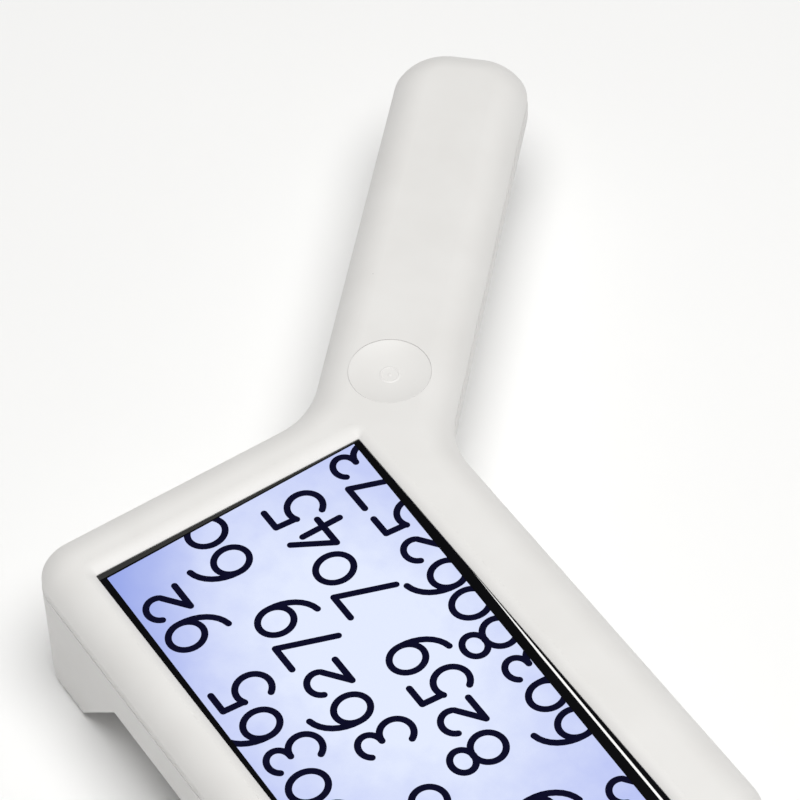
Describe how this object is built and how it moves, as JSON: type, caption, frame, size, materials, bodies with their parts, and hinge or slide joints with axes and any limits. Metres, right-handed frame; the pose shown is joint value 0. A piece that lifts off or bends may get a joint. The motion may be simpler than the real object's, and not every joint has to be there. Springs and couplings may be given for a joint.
{
  "type": "electronic handheld magnifier",
  "caption": "Hand-held video magnifier for low vision: a flat display head on two feet, with a slanted handle, a round push button and a sliding battery cover.",
  "frame": {"origin": "bottom centre of the overall box, on the surface that the foot pads stand on", "axes": "+X along the display's long side towards the end of the head that carries the handle, +Y up the displayed page, +Z out of the display"},
  "size_m": [0.2268, 0.1744, 0.0386],
  "materials": {
    "case_plastic": "satin",
    "display_glass": "gloss",
    "black_plastic": "matte",
    "steel": "satin",
    "circuit_board": "gloss",
    "chip": "satin",
    "clear_window": "gloss",
    "white_plastic": "satin",
    "cable_film": "satin",
    "red_insulation": "satin",
    "black_insulation": "satin",
    "battery_wrap": "satin",
    "contact_brass": "polished",
    "rubber": "matte"
  },
  "bodies": {
    "body": {"battery_lead_minus": "black_insulation", "battery_lead_plus": "red_insulation", "battery_pack": "battery_wrap", "board_screw_1": "steel", "board_screw_2": "steel", "board_screw_3": "steel", "board_screw_4": "steel", "button_cable": "cable_film", "camera_barrel": "black_plastic", "camera_holder": "black_plastic", "camera_lens": "clear_window", "camera_window": "clear_window", "case_screw_1": "steel", "case_screw_2": "steel", "case_screw_3": "steel", "case_screw_4": "steel", "case_screw_5": "steel", "case_screw_6": "steel", "case_screw_7": "steel", "case_screw_8": "steel", "charge_socket": "steel", "contact_block": "black_plastic", "contact_spring_minus": "contact_brass", "contact_spring_plus": "contact_brass", "display_back_plate": "steel", "display_backlight": "white_plastic", "display_cable": "cable_film", "display_connector": "white_plastic", "display_frame": "steel", "display_gasket": "black_plastic", "display_panel": "display_glass", "foot_pad_1": "rubber", "foot_pad_2": "rubber", "foot_pad_3": "rubber", "foot_pad_4": "rubber", "front_cover": "case_plastic", "image_sensor": "chip", "lamp_1": "white_plastic", "lamp_2": "white_plastic", "lamp_3": "white_plastic", "lamp_4": "white_plastic", "lamp_5": "white_plastic", "lamp_6": "white_plastic", "light_board_left": "circuit_board", "light_board_right": "circuit_board", "light_diffuser_left": "white_plastic", "light_diffuser_right": "white_plastic", "main_board": "circuit_board", "power_connector": "white_plastic", "processor_shield": "steel", "rear_housing": "case_plastic", "switch_board": "circuit_board", "switch_body": "black_plastic"},
    "button": {"button_cap": "case_plastic", "switch_plunger": "black_plastic"},
    "battery_cover": {"battery_cover": "case_plastic"}
  },
  "joints": [
    {"name": "button_press", "type": "slide", "parent": "body", "child": "button", "axis": [0, 0, -1], "range_m": [0, 0.0008], "stiffness_N_per_m": 2000, "springref_m": -0.0004},
    {"name": "battery_cover_slide", "type": "slide", "parent": "body", "child": "battery_cover", "axis": [0.7193, -0.6947, 0], "range_m": [0, 0.012]}
  ]
}
